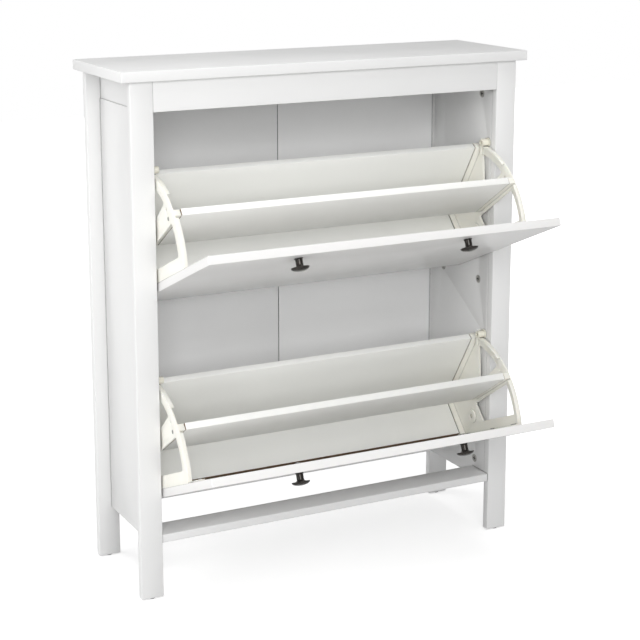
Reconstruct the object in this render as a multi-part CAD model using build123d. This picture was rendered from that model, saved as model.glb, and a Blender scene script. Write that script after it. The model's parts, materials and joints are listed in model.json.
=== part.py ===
from build123d import *
import os
from math import asin, ceil, cos, degrees, hypot, radians, sin, sqrt

os.makedirs("parts", exist_ok=True)

# A narrow two-flap shoe cabinet on four flat legs.
# X runs along its width, Y from the front face of the front legs to the back, Z up from the floor.
# Both flaps are modelled open, resting on their stops.

# ---------------------------------------------------------------- driving dimensions (mm, degrees)
# carcass
OVERALL_HEIGHT = 940.0
TOP_WIDTH = 800.0
TOP_THICKNESS = 18.0
TOP_SIDE_OVERHANG = 18.0
TOP_FRONT_OVERHANG = 10.0
TOP_EDGE_ROUND = 1.2
CARCASS_DEPTH = 235.0
BOARD = 15.0
LEG_WIDTH = 41.0
LEG_EDGE_ROUND = 1.0
GLIDE_RADIUS = 6.0
GLIDE_HEIGHT = 2.0
RAIL_HEIGHT = 52.5
SIDE_PANEL_BOTTOM = 97.0
SIDE_LEDGE = 1.5
CROSSBAR_DEPTH = 56.5
CROSSBAR_SETBACK = 1.5
CROSSBAR_TOP = 117.0
CROSSBAR_EDGE_ROUND = 3.0
REAR_RAIL_HEIGHT = 36.0
# back panel
BACK_SHEET = 3.0
BACK_INSET = 2.5
BACK_GROOVE = 4.0
BACK_SEAM = 1.5
BACK_TOP_GAP = 1.0
SEAM_TAPE_WIDTH = 30.0
SEAM_TAPE_THICKNESS = 0.3
NAIL_RADIUS = 0.9
NAIL_HEAD_RADIUS = 3.0
NAIL_HEAD = 0.8
NAIL_LENGTH = 16.0
NAIL_PITCH = 110.0
NAIL_TAPE_GAP = 1.0
# joinery
FIT = 0.1
CAM_RADIUS = 7.5
CAM_DEPTH = 11.5
CAM_PROUD = 0.4
CAM_CROSS = 8.0
CAM_CROSS_WIDTH = 1.8
CAM_CROSS_DEPTH = 2.5
CAM_FRONT_EDGE = 35.4
CAM_REAR_EDGE = 42.0
CAM_END_INSET = 12.5
CAM_LOW_INSET = 37.0
CAM_UNDER_PIVOT = 96.6
CAM_BOLT_RADIUS = 3.0
CAM_BOLT_GRIP = 10.0
DOWEL_RADIUS = 4.0
DOWEL_LENGTH = 30.0
DOWEL_IN_LEG = 12.0
DOWEL_INSET = 11.0
SLIM_DOWEL_RADIUS = 3.0
SLIM_DOWEL_IN_LEG = 10.0
BRACKET_LEG = 18.0
BRACKET_WIDTH = 16.0
BRACKET_STEEL = 1.6
BRACKET_SCREW_RADIUS = 1.7
BRACKET_SCREW_HEAD_RADIUS = 3.4
BRACKET_SCREW_HEAD = 1.8
BRACKET_SCREW_LENGTH = 11.0
BRACKET_EDGE = 120.0
# flaps
OPEN_ANGLE = 67.3
PIVOT_BACK = 51.0
FLAP_TOP_GAP = 2.9
FLAP_GAP = 12.7
FLAP_SWEEP_GAP = 3.2
FLAP_SIDE_GAP = 3.0
FLAP_DROP = 88.0
FLAP_EDGE_ROUND = 0.8
DIVIDER_THICKNESS = 12.0
DIVIDER_LENGTH = 133.5
DIVIDER_TILT = 10.4
DIVIDER_FOOT = (28.2, 30.1)
REAR_BOARD_THICKNESS = 12.0
REAR_BOARD_LENGTH = 171.0
REAR_BOARD_TILT = 34.7
FLOOR_THICKNESS = 12.0
FLOOR_LENGTH = 81.3
FLOOR_TILT = 110.0
FLOOR_FRONT = (-42.8, -28.2)
# side frames of the flaps
FRAME_SIDE_GAP = 3.0
FRAME_PLATE = 3.0
FRAME_PAD = 10.7
FRAME_RIM_DEPTH = 5.0
FRAME_RIM = 3.0
BOARD_END_GAP = 0.8
ARC_RADIUS = 168.0
ARC_BAND = 18.0
ARC_RIM_BREAK = (17.5, 35.0)
BASE_STRIP = 22.0
FOOT_THICKNESS = 3.0
PAD_LIP = 3.0
HUB_RADIUS = 13.0
HUB_RISE = 3.0
FRAME_CORNER = 4.0
FRONT_OPENING_TOP = (20.5, 22.5)
FRONT_OPENING_FOOT = 35.0
REAR_OPENING_CORNER = (50.0, 57.0)
REAR_OPENING_LOW = 19.5
REAR_OPENING_HIGH = 72.0
SPARE_HOLE_ANGLE = 29.0
SPARE_HOLE_INSET = 19.4
SPARE_HOLE_RADIUS = 2.2
TOE_REACH = 14.0
TOE_WIDTH = 13.0
TOE_LENGTH = 24.0
# pivots and stops
PIN_RADIUS = 4.0
PIN_CLEARANCE = 0.06
PIN_IN_PANEL = 10.0
PIN_FLANGE_RADIUS = 9.0
PIN_FLANGE = 2.4
PIN_END_INSET = 1.0
STOP_RADIUS = 6.3
STOP_BACK = 25.0
STOP_ARC_GAP = 0.5
STOP_HOOK_GAP = 0.3
STOP_FLANGE_RADIUS = 8.5
STOP_FLANGE = 2.2
STOP_BORE_RADIUS = 3.6
STOP_FLOOR = 4.0
STOP_BOARD_GAP = 1.2
STOP_SCREW_RADIUS = 1.9
STOP_SCREW_LENGTH = 15.0
HOOK_THICKNESS = 4.0
HOOK_RISE = 13.0
# screws
SCREW_RADIUS = 1.7
SCREW_HEAD_RADIUS = 3.5
SCREW_HEAD = 1.8
BOARD_SCREW_LENGTH = 40.0
BOARD_SCREW_EDGE = 0.2
FOOT_SCREW_LENGTH = 14.0
FOOT_SCREW_LOW = -20.0
FOOT_SCREW_MIDDLE = 72.0
FOOT_SCREW_END_INSET = 18.0
# knobs
KNOB_SPACING = 328.0
KNOB_FROM_TOP = 35.0
KNOB_STEM_RADIUS = 6.8
KNOB_WAIST_RADIUS = 5.6
KNOB_STEM = 15.0
KNOB_HEAD_RADIUS = 16.0
KNOB_HEAD = 7.0
KNOB_RIM = 2.4
KNOB_SCREW_RADIUS = 2.0
KNOB_SCREW_HEAD_RADIUS = 4.2
KNOB_SCREW_HEAD = 2.4
KNOB_SCREW_GRIP = 9.0

# ---------------------------------------------------------------- derived places
top_under = OVERALL_HEIGHT - TOP_THICKNESS
outer_x = TOP_WIDTH / 2 - TOP_SIDE_OVERHANG
inner_x = outer_x - LEG_WIDTH
rail_bottom = top_under - RAIL_HEIGHT
panel_front = BOARD
panel_back = CARCASS_DEPTH - BOARD
back_face = CARCASS_DEPTH - BACK_INSET
back_front = back_face - BACK_SHEET
rear_rail_front = back_front - BOARD

door_out = -PIVOT_BACK
door_in = door_out + BOARD
door_half = inner_x - FLAP_SIDE_GAP
door_sweep = hypot(FLAP_DROP, PIVOT_BACK)
lower_pivot = CROSSBAR_TOP + FLAP_SWEEP_GAP + door_sweep
flap_height = (rail_bottom - FLAP_TOP_GAP - FLAP_GAP + FLAP_DROP - lower_pivot) / 2
upper_pivot = lower_pivot + flap_height + FLAP_GAP
door_top = flap_height - FLAP_DROP

frame_out = inner_x - FRAME_SIDE_GAP
plate_in = frame_out - FRAME_PLATE
rim_in = plate_in - FRAME_RIM_DEPTH
pad_in = plate_in - FRAME_PAD
board_half = pad_in - BOARD_END_GAP
hub_in = plate_in - HUB_RISE

stop_r = ARC_RADIUS + STOP_ARC_GAP + STOP_RADIUS
stop_forward = PIVOT_BACK - STOP_BACK
stop_rise = sqrt(stop_r**2 - stop_forward**2)
stop_end = board_half + STOP_BOARD_GAP
stop_screw_grip = STOP_SCREW_LENGTH - (inner_x - stop_end - STOP_FLANGE - STOP_FLOOR)
stop_local = OPEN_ANGLE - degrees(asin(stop_forward / stop_r))
hook_start = stop_local + degrees(asin((STOP_RADIUS + STOP_HOOK_GAP) / stop_r))


# ---------------------------------------------------------------- helpers
nodes = {}


def save(node, solids):
    """Keep one node, given as one solid or as a list of separate solids."""
    nodes[node] = solids if not isinstance(solids, list) else Compound(solids)


def block(x, y, z):
    """A box from three (low, high) pairs."""
    size = [pair[1] - pair[0] for pair in (x, y, z)]
    centre = [(pair[0] + pair[1]) / 2 for pair in (x, y, z)]
    return Pos(*centre) * Box(*size)


def mirrored(pair):
    """The same stretch on the other side of the middle plane."""
    return (-pair[1], -pair[0])


def side_range(side, low, high):
    """A stretch of X that lies on the left (-1) or on the right (+1)."""
    return (low, high) if side > 0 else mirrored((low, high))


def rod_x(x_low, x_high, radius, y=0.0, z=0.0):
    """A round rod along X."""
    return Pos((x_low + x_high) / 2, y, z) * Rot(0, 90, 0) * Cylinder(radius, x_high - x_low)


def rod_y(y_low, y_high, radius, x=0.0, z=0.0):
    """A round rod along Y."""
    return Pos(x, (y_low + y_high) / 2, z) * Rot(90, 0, 0) * Cylinder(radius, y_high - y_low)


def rod_z(z_low, z_high, radius, x=0.0, y=0.0):
    """A round rod along Z."""
    return Pos(x, y, (z_low + z_high) / 2) * Cylinder(radius, z_high - z_low)


def eased(solid, axis, radius):
    """Round the edges that run along one axis."""
    return fillet(solid.edges().filter_by(axis), radius)


def profile(points):
    """A flat face through (a, b) points of a flap's section."""
    return make_face(Polyline(*points, close=True))


def along_x(face, x_low, x_high):
    """Extrude a section drawn in (a, b): a runs up the closed flap, b to the back."""
    plane = Plane(origin=(x_high, 0, 0), x_dir=(0, 0, 1), z_dir=(-1, 0, 0))
    return extrude(plane * face, x_high - x_low)


def step_from(point, tilt, run, rise=0.0):
    """The point reached along a tilted line, and then square to it."""
    t = radians(tilt)
    return (point[0] + run * cos(t) - rise * sin(t), point[1] + run * sin(t) + rise * cos(t))


def even_places(low, high, pitch):
    """Evenly spread places from low to high, at most one pitch apart."""
    count = max(1, ceil((high - low) / pitch))
    return [low + (high - low) * i / count for i in range(count + 1)]


# ---------------------------------------------------------------- places of the fasteners
cam_heights = (
    SIDE_PANEL_BOTTOM + CAM_LOW_INSET,
    upper_pivot - CAM_UNDER_PIVOT,
    rail_bottom - CAM_END_INSET,
)
cam_front = panel_front + CAM_FRONT_EDGE
cam_back = panel_back - CAM_REAR_EDGE
bolt_x = inner_x + BOARD / 2
dowel_in_rail = DOWEL_LENGTH - DOWEL_IN_LEG
panel_dowel_heights = [(low + high) / 2 for low, high in zip(cam_heights[:-1], cam_heights[1:])]


def cam_bolt_spans():
    """Y stretch of each bolt: from its grip in the leg to the near side of its cam."""
    front = (panel_front - CAM_BOLT_GRIP, cam_front - CAM_RADIUS - FIT)
    back = (cam_back + CAM_RADIUS + FIT, panel_back + CAM_BOLT_GRIP)
    return (front, back)


def rail_dowels():
    """X dowels that join the rails and the crossbar to the legs: (side, y, z)."""
    places = []
    rows = [
        (BOARD / 2, rail_bottom + DOWEL_INSET),
        (BOARD / 2, top_under - DOWEL_INSET),
        (BOARD / 2, CROSSBAR_TOP - BOARD / 2),
        (CROSSBAR_SETBACK + CROSSBAR_DEPTH - DOWEL_INSET, CROSSBAR_TOP - BOARD / 2),
        (rear_rail_front + BOARD / 2, top_under - REAR_RAIL_HEIGHT / 2),
        (rear_rail_front + BOARD / 2, SIDE_PANEL_BOTTOM + REAR_RAIL_HEIGHT / 2),
    ]
    for side in (-1, 1):
        places += [(side, y, z) for y, z in rows]
    return places


def x_dowel(side, y, z, slack):
    """One dowel across a joint at the legs' inner face, or its hole."""
    span = side_range(side, inner_x - dowel_in_rail - slack, inner_x + DOWEL_IN_LEG + slack)
    return rod_x(span[0], span[1], DOWEL_RADIUS + slack, y, z)


def panel_dowels():
    """Y dowels between the side panels and the legs: (x, y, z)."""
    places = []
    for side in (-1, 1):
        for height in panel_dowel_heights:
            places += [(side * bolt_x, y, height) for y in (panel_front, panel_back)]
        side_rail_middle = (rail_bottom + top_under) / 2
        places += [(side * bolt_x, y, side_rail_middle) for y in (panel_front, panel_back)]
    return places


def y_dowel(x, y, z, slack):
    """One dowel across a joint at the legs' inner edge, or its hole."""
    into_panel = DOWEL_LENGTH - SLIM_DOWEL_IN_LEG
    front = y == panel_front
    low = y - (SLIM_DOWEL_IN_LEG if front else into_panel) - slack
    high = y + (into_panel if front else SLIM_DOWEL_IN_LEG) + slack
    return rod_y(low, high, SLIM_DOWEL_RADIUS + slack, x, z)


def drill_dowels(board):
    """Take every dowel hole that reaches the board out of it."""
    box = board.bounding_box()
    for side, y, z in rail_dowels():
        if abs(side * inner_x - box.center().X) < box.size.X / 2 + DOWEL_LENGTH:
            board = board - x_dowel(side, y, z, FIT)
    for x, y, z in panel_dowels():
        if abs(x - box.center().X) < box.size.X / 2 + DOWEL_RADIUS:
            board = board - y_dowel(x, y, z, FIT)
    return board


def drill_bolts(board):
    """Take the cam bolts' holes out of a leg or a side panel."""
    side = 1 if board.bounding_box().center().X > 0 else -1
    for height in cam_heights:
        for low, high in cam_bolt_spans():
            board = board - rod_y(low - FIT, high + FIT, CAM_BOLT_RADIUS + FIT, side * bolt_x, height)
    return board


# ---------------------------------------------------------------- carcass
def top_panel():
    """The lid: overhangs the sides and the front, flush with the rear legs."""
    half = TOP_WIDTH / 2
    board = block((-half, half), (-TOP_FRONT_OVERHANG, CARCASS_DEPTH), (top_under, OVERALL_HEIGHT))
    return fillet(board.edges(), TOP_EDGE_ROUND)


def leg(side, rear):
    """A flat leg from its glide up to the lid; the rear ones are grooved for the back panel."""
    y = (panel_back, CARCASS_DEPTH) if rear else (0.0, BOARD)
    post = block(side_range(side, inner_x, outer_x), y, (GLIDE_HEIGHT, top_under))
    post = eased(post, Axis.Z, LEG_EDGE_ROUND)
    if rear:
        groove_x = side_range(side, inner_x - FIT, inner_x + BACK_GROOVE)
        groove_z = (SIDE_PANEL_BOTTOM, top_under)
        post = post - block(groove_x, (back_front - FIT, back_face + FIT), groove_z)
    return drill_bolts(drill_dowels(post))


def side_panel(side):
    """The side wall, flush with the legs' inner faces and set back from their outer ones."""
    x = side_range(side, inner_x, inner_x + BOARD)
    panel = block(x, (panel_front, panel_back), (SIDE_PANEL_BOTTOM, rail_bottom))
    panel = drill_bolts(drill_dowels(panel))
    for height in cam_heights:
        for y in (cam_front, cam_back):
            span = side_range(side, inner_x, inner_x + CAM_DEPTH + FIT)
            panel = panel - rod_x(span[0], span[1], CAM_RADIUS + FIT, y, height)
    for pivot in (upper_pivot, lower_pivot):
        span = side_range(side, inner_x, inner_x + PIN_IN_PANEL + FIT)
        panel = panel - rod_x(span[0], span[1], PIN_RADIUS + FIT, PIVOT_BACK, pivot)
        span = side_range(side, inner_x, inner_x + stop_screw_grip + FIT)
        panel = panel - rod_x(span[0], span[1], STOP_SCREW_RADIUS + FIT, STOP_BACK, pivot + stop_rise)
    return panel


def side_rail(side):
    """The short rail above the side wall, thinner so that the wall's top edge shows as a ledge."""
    x = side_range(side, inner_x, inner_x + BOARD - SIDE_LEDGE)
    return drill_dowels(block(x, (panel_front, panel_back), (rail_bottom, top_under)))


def front_top_rail():
    """The front apron under the lid."""
    return drill_dowels(block((-inner_x, inner_x), (0.0, BOARD), (rail_bottom, top_under)))


def rear_rail(low, high):
    """A rail that the back panel is nailed to."""
    rail = block((-inner_x, inner_x), (rear_rail_front, back_front), (low, high))
    return drill_dowels(rail)


def crossbar():
    """The flat bar across the front under the lower flap, with an eased front edge."""
    y = (CROSSBAR_SETBACK, CROSSBAR_SETBACK + CROSSBAR_DEPTH)
    bar = block((-inner_x, inner_x), y, (CROSSBAR_TOP - BOARD, CROSSBAR_TOP))
    front_edge = bar.edges().filter_by(Axis.X).group_by(Axis.Y)[0].sort_by(Axis.Z)[-1]
    return drill_dowels(fillet(front_edge, CROSSBAR_EDGE_ROUND))


def back_sheet(side):
    """Half of the thin back panel, held in the rear leg's groove."""
    x = side_range(side, BACK_SEAM / 2, inner_x + BACK_GROOVE - FIT)
    return block(x, (back_front, back_face), (SIDE_PANEL_BOTTOM, top_under - BACK_TOP_GAP))


def seam_tape():
    """The tape behind the seam of the two back sheets."""
    half = SEAM_TAPE_WIDTH / 2
    z = (SIDE_PANEL_BOTTOM, top_under - BACK_TOP_GAP)
    return block((-half, half), (back_face, back_face + SEAM_TAPE_THICKNESS), z)


def nail_rows():
    """Places (x, z) of the nails that hold the back sheets to the two rear rails."""
    start = SEAM_TAPE_WIDTH / 2 + NAIL_HEAD_RADIUS + NAIL_TAPE_GAP
    end = inner_x - dowel_in_rail - NAIL_HEAD_RADIUS
    heights = (SIDE_PANEL_BOTTOM + REAR_RAIL_HEIGHT / 2, top_under - REAR_RAIL_HEIGHT / 2)
    return [(side * x, z) for side in (-1, 1) for z in heights for x in even_places(start, end, NAIL_PITCH)]


def nails():
    """Flat-headed nails; their heads lie on the back sheets."""
    made = []
    for x, z in nail_rows():
        shank = rod_y(back_face - NAIL_LENGTH, back_face, NAIL_RADIUS, x, z)
        made.append(shank + rod_y(back_face, back_face + NAIL_HEAD, NAIL_HEAD_RADIUS, x, z))
    return made


def drill_nails(board):
    """Take the nails' holes out of a back sheet or a rear rail."""
    box = board.bounding_box()
    for x, z in nail_rows():
        if box.min.X < x < box.max.X and box.min.Z < z < box.max.Z:
            hole = rod_y(back_face - NAIL_LENGTH - FIT, back_face, NAIL_RADIUS + FIT, x, z)
            board = board - hole
    return board


def leg_glides():
    """A small round glide under each leg."""
    middle = (inner_x + outer_x) / 2
    rows = (BOARD / 2, CARCASS_DEPTH - BOARD / 2)
    return [rod_z(0.0, GLIDE_HEIGHT, GLIDE_RADIUS, side * middle, y) for side in (-1, 1) for y in rows]


def cam_lock(side, y, z):
    """A round cam in the side wall, with a cross recess for the driver."""
    span = side_range(side, inner_x - CAM_PROUD, inner_x + CAM_DEPTH)
    body = rod_x(span[0], span[1], CAM_RADIUS, y, z)
    recess = side_range(side, inner_x - CAM_PROUD, inner_x - CAM_PROUD + CAM_CROSS_DEPTH)
    long = CAM_CROSS / 2
    short = CAM_CROSS_WIDTH / 2
    body = body - block(recess, (y - long, y + long), (z - short, z + short))
    return body - block(recess, (y - short, y + short), (z - long, z + long))


def cam_locks():
    """Three cams by each leg, on both sides."""
    rows = [(y, z) for y in (cam_front, cam_back) for z in cam_heights]
    return [cam_lock(side, y, z) for side in (-1, 1) for y, z in rows]


def cam_bolts():
    """The bolts that the cams pull: each screwed into a leg."""
    made = []
    for side in (-1, 1):
        for height in cam_heights:
            for low, high in cam_bolt_spans():
                made.append(rod_y(low, high, CAM_BOLT_RADIUS, side * bolt_x, height))
    return made


def bracket_places():
    """Steel angles under the lid: (x, y, turn about Z), each with its back to a rail."""
    end = inner_x - BRACKET_EDGE
    front = [(x, BOARD, 0.0) for x in (-end, end)]
    rear = [(x, rear_rail_front, 180.0) for x in (-end, end)]
    middle = (panel_front + panel_back) / 2
    return front + rear + [(-inner_x, middle, -90.0), (inner_x, middle, 90.0)]


def bracket_at(place, shape):
    """Put a shape drawn for a bracket at the origin under the lid at its place."""
    x, y, turn = place
    return Pos(x, y, top_under) * Rot(0, 0, turn) * shape


def angle_bracket():
    """An angle with one leg on the rail and one on the lid's underside."""
    half = BRACKET_WIDTH / 2
    wall = block((-half, half), (0.0, BRACKET_STEEL), (-BRACKET_LEG, 0.0))
    shelf = block((-half, half), (0.0, BRACKET_LEG), (-BRACKET_STEEL, 0.0))
    reach = BRACKET_STEEL + (BRACKET_LEG - BRACKET_STEEL) / 2
    hole = BRACKET_SCREW_RADIUS + FIT
    wall = wall - rod_y(0.0, BRACKET_STEEL, hole, 0.0, -reach)
    return (wall + shelf) - rod_z(-BRACKET_STEEL, 0.0, hole, 0.0, reach)


def bracket_screw_pair(slack):
    """The two screws of one bracket, or with slack their holes."""
    reach = BRACKET_STEEL + (BRACKET_LEG - BRACKET_STEEL) / 2
    tip = BRACKET_SCREW_LENGTH - BRACKET_STEEL
    r = BRACKET_SCREW_RADIUS + slack
    across = rod_y(-tip - slack, BRACKET_STEEL, r, 0.0, -reach)
    across_head = rod_y(BRACKET_STEEL, BRACKET_STEEL + BRACKET_SCREW_HEAD, BRACKET_SCREW_HEAD_RADIUS, 0.0, -reach)
    up = rod_z(-BRACKET_STEEL, tip + slack, r, 0.0, reach)
    up_head = rod_z(-BRACKET_STEEL - BRACKET_SCREW_HEAD, -BRACKET_STEEL, BRACKET_SCREW_HEAD_RADIUS, 0.0, reach)
    return (across, across_head, up, up_head)


def bracket_screws():
    """All the brackets' screws."""
    made = []
    for place in bracket_places():
        across, across_head, up, up_head = bracket_screw_pair(0.0)
        made += [bracket_at(place, across + across_head), bracket_at(place, up + up_head)]
    return made


def drill_brackets(board):
    """Take the bracket screws' holes out of the lid and the rails."""
    box = board.bounding_box()
    for place in bracket_places():
        near_x = box.min.X - BOARD < place[0] < box.max.X + BOARD
        near_y = box.min.Y - BOARD < place[1] < box.max.Y + BOARD
        if near_x and near_y:
            across, _, up, _ = bracket_screw_pair(FIT)
            board = board - bracket_at(place, across) - bracket_at(place, up)
    return board


# ---------------------------------------------------------------- pivots and stops on the side walls
def pivot_pin(side, pivot):
    """A plastic pin with a flange, pressed into the side wall; a side frame turns on it."""
    shank = side_range(side, hub_in + PIN_END_INSET, inner_x + PIN_IN_PANEL)
    flange = side_range(side, inner_x - PIN_FLANGE, inner_x)
    pin = rod_x(shank[0], shank[1], PIN_RADIUS, PIVOT_BACK, pivot)
    return pin + rod_x(flange[0], flange[1], PIN_FLANGE_RADIUS, PIVOT_BACK, pivot)


def flap_stop(side, pivot):
    """A hollow peg on the side wall that a side frame's hook comes to rest against."""
    y = STOP_BACK
    z = pivot + stop_rise
    barrel = side_range(side, stop_end, inner_x)
    flange = side_range(side, inner_x - STOP_FLANGE, inner_x)
    peg = rod_x(barrel[0], barrel[1], STOP_RADIUS, y, z)
    peg = peg + rod_x(flange[0], flange[1], STOP_FLANGE_RADIUS, y, z)
    bore = side_range(side, stop_end, inner_x - STOP_FLANGE - STOP_FLOOR)
    hole = side_range(side, stop_end, inner_x)
    peg = peg - rod_x(bore[0], bore[1], STOP_BORE_RADIUS, y, z)
    return peg - rod_x(hole[0], hole[1], STOP_SCREW_RADIUS + FIT, y, z)


def stop_screw(side, pivot):
    """The screw inside a stop, its head at the bottom of the bore."""
    y = STOP_BACK
    z = pivot + stop_rise
    seat = inner_x - STOP_FLANGE - STOP_FLOOR
    shank = side_range(side, seat, inner_x + stop_screw_grip)
    head = side_range(side, seat - SCREW_HEAD, seat)
    screw = rod_x(shank[0], shank[1], STOP_SCREW_RADIUS, y, z)
    return screw + rod_x(head[0], head[1], STOP_BORE_RADIUS - FIT, y, z)


# ---------------------------------------------------------------- flap sections, drawn about the pivot
divider_section = [
    DIVIDER_FOOT,
    step_from(DIVIDER_FOOT, DIVIDER_TILT, DIVIDER_LENGTH),
    step_from(DIVIDER_FOOT, DIVIDER_TILT, DIVIDER_LENGTH, DIVIDER_THICKNESS),
    step_from(DIVIDER_FOOT, DIVIDER_TILT, 0.0, DIVIDER_THICKNESS),
]
corner = step_from(FLOOR_FRONT, FLOOR_TILT, FLOOR_LENGTH)
corner_lap = FLOOR_THICKNESS / sin(radians(FLOOR_TILT - REAR_BOARD_TILT))
rear_foot = step_from(corner, REAR_BOARD_TILT, -corner_lap)
foot_end = sqrt(ARC_RADIUS**2 - door_in**2)
rear_section = [
    rear_foot,
    step_from(corner, REAR_BOARD_TILT, REAR_BOARD_LENGTH),
    step_from(corner, REAR_BOARD_TILT, REAR_BOARD_LENGTH, REAR_BOARD_THICKNESS),
    step_from(rear_foot, REAR_BOARD_TILT, 0.0, REAR_BOARD_THICKNESS),
]
floor_section = [
    FLOOR_FRONT,
    corner,
    rear_foot,
    step_from(FLOOR_FRONT, FLOOR_TILT, 0.0, FLOOR_THICKNESS),
]


def polar(radius, angle):
    """A point of the section at a radius and angle about the pivot."""
    return (radius * cos(radians(angle)), radius * sin(radians(angle)))


def padded(section, lip):
    """A board's section grown by a lip all round."""
    return offset(profile(section), lip, kind=Kind.INTERSECTION)


def frame_outline():
    """The side frame's outer shape: a fan about the pivot that holds the ends of all the boards."""
    reach = 2 * ARC_RADIUS
    rear_top = step_from(corner, REAR_BOARD_TILT, REAR_BOARD_LENGTH, REAR_BOARD_THICKNESS + PAD_LIP)
    rear_low = step_from(rear_foot, REAR_BOARD_TILT, -PAD_LIP, REAR_BOARD_THICKNESS + PAD_LIP)
    floor_low = step_from(rear_foot, REAR_BOARD_TILT, -PAD_LIP)
    floor_front = step_from(FLOOR_FRONT, FLOOR_TILT, 0.0, FLOOR_THICKNESS + PAD_LIP)
    points = [
        (floor_front[0], door_in),
        (reach, door_in),
        polar(reach, hook_start),
        rear_top,
        rear_low,
        floor_low,
        floor_front,
    ]
    return profile(points) & Circle(ARC_RADIUS)


def front_opening():
    """The gap between the base strip and the divider's strip."""
    far = 2 * ARC_RADIUS
    top = FRONT_OPENING_TOP
    low = door_in + BASE_STRIP
    points = [top, (FRONT_OPENING_FOOT, low), (far, low), step_from(top, DIVIDER_TILT, far - top[0])]
    return profile(points) & Circle(ARC_RADIUS - ARC_BAND)


def rear_opening():
    """The gap between the divider's strip, the rear strut and the arc."""
    far = 2 * ARC_RADIUS
    start = REAR_OPENING_CORNER
    points = [start, step_from(start, REAR_OPENING_LOW, far), step_from(start, REAR_OPENING_HIGH, far)]
    return profile(points) & Circle(ARC_RADIUS - ARC_BAND)


def softened(face, radius):
    """A face with every corner rounded."""
    return fillet(face.vertices(), radius)


def arc_band(inner, outer, start, end):
    """A stretch of ring about the pivot."""
    middle = (start + end) / 2
    reach = 2 * outer
    wedge = [(0.0, 0.0), polar(reach, start), polar(reach / cos(radians(end - start) / 2), middle)]
    wedge.append(polar(reach, end))
    return (Circle(outer) - Circle(inner)) & profile(wedge)


def frame_hook():
    """The tab at the arc's end that meets the stop."""
    start = polar(ARC_RADIUS - ARC_BAND, hook_start)
    points = [
        start,
        step_from(start, hook_start, ARC_BAND + HOOK_RISE),
        step_from(start, hook_start, ARC_BAND + HOOK_RISE, HOOK_THICKNESS),
        step_from(start, hook_start, 0.0, HOOK_THICKNESS),
    ]
    return profile(points)


def section_screws(section):
    """(a, b) of the two screws in the end of the board with this section."""
    low, far, opposite, rear = section
    start_a, start_b = (low[0] + rear[0]) / 2, (low[1] + rear[1]) / 2
    run_a, run_b = (far[0] + opposite[0]) / 2 - start_a, (far[1] + opposite[1]) / 2 - start_b
    shares = (BOARD_SCREW_EDGE, 1 - BOARD_SCREW_EDGE)
    return [(start_a + share * run_a, start_b + share * run_b) for share in shares]


def board_screw_places():
    """(a, b) of all the screws into the boards' ends on one side."""
    sections = (divider_section, rear_section, floor_section)
    return [place for section in sections for place in section_screws(section)]


def pierce_x(solid, a, b, radius, x_low, x_high):
    """A round hole along X through the section's point (a, b)."""
    return solid - rod_x(x_low, x_high, radius, b, a)


def side_frame():
    """The right-hand side frame, drawn closed about its pivot."""
    openings = softened(front_opening(), FRAME_CORNER) + softened(rear_opening(), FRAME_CORNER)
    frame = along_x(frame_outline() - openings, plate_in, frame_out)
    frame = frame + along_x(frame_hook(), rim_in, frame_out)
    rim_low = degrees(asin(door_in / ARC_RADIUS))
    for start, end in ((rim_low, ARC_RIM_BREAK[0]), (ARC_RIM_BREAK[1], hook_start)):
        rim = arc_band(ARC_RADIUS - FRAME_RIM, ARC_RADIUS, start, end)
        frame = frame + along_x(rim, rim_in, plate_in)
    shape = frame_outline()
    for pad in (padded(rear_section, PAD_LIP), padded(floor_section, PAD_LIP)):
        frame = frame + along_x(pad & shape, pad_in, plate_in)
    frame = frame + along_x(profile(divider_section) & shape, pad_in, plate_in)
    foot_start = step_from(FLOOR_FRONT, FLOOR_TILT, 0.0, FLOOR_THICKNESS + PAD_LIP)[0]
    foot_b = (door_in, door_in + FOOT_THICKNESS)
    frame = frame + block((pad_in, frame_out), foot_b, (foot_start, foot_end))
    toe_a = (foot_end + TOE_REACH - TOE_LENGTH, foot_end + TOE_REACH)
    toe = block((pad_in - TOE_WIDTH, pad_in + FOOT_THICKNESS), foot_b, toe_a)
    toe_edges = toe.edges().filter_by(Axis.Y).group_by(Axis.Z)[-1]
    frame = frame + fillet(toe_edges, FOOT_THICKNESS / 2)
    frame = frame + rod_x(hub_in, frame_out, HUB_RADIUS)
    frame = frame - rod_x(hub_in, frame_out, PIN_RADIUS + PIN_CLEARANCE)
    spare_a, spare_b = polar(ARC_RADIUS - SPARE_HOLE_INSET, SPARE_HOLE_ANGLE)
    frame = pierce_x(frame, spare_a, spare_b, SPARE_HOLE_RADIUS, pad_in, frame_out)
    for a, b in board_screw_places():
        frame = pierce_x(frame, a, b, SCREW_RADIUS + FIT, pad_in, frame_out)
        frame = pierce_x(frame, a, b, SCREW_HEAD_RADIUS + FIT, frame_out - SCREW_HEAD, frame_out)
    for x, a in foot_screw_places():
        frame = frame - rod_y(door_in, door_in + FOOT_THICKNESS, SCREW_RADIUS + FIT, x, a)
    return frame


def foot_screw_places():
    """(x, a) of the screws that hold the right-hand frame to the door."""
    row = (pad_in + plate_in) / 2
    places = [(row, a) for a in (FOOT_SCREW_LOW, FOOT_SCREW_MIDDLE, foot_end - FOOT_SCREW_END_INSET)]
    places.append((pad_in - TOE_WIDTH / 2, foot_end + TOE_REACH - TOE_WIDTH / 2))
    return places


def foot_screw(x, a):
    """A pan-head screw through a frame's foot into the door."""
    seat = door_in + FOOT_THICKNESS
    shank = rod_y(seat - FOOT_SCREW_LENGTH, seat, SCREW_RADIUS, x, a)
    return shank + rod_y(seat, seat + SCREW_HEAD, SCREW_HEAD_RADIUS, x, a)


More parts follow.
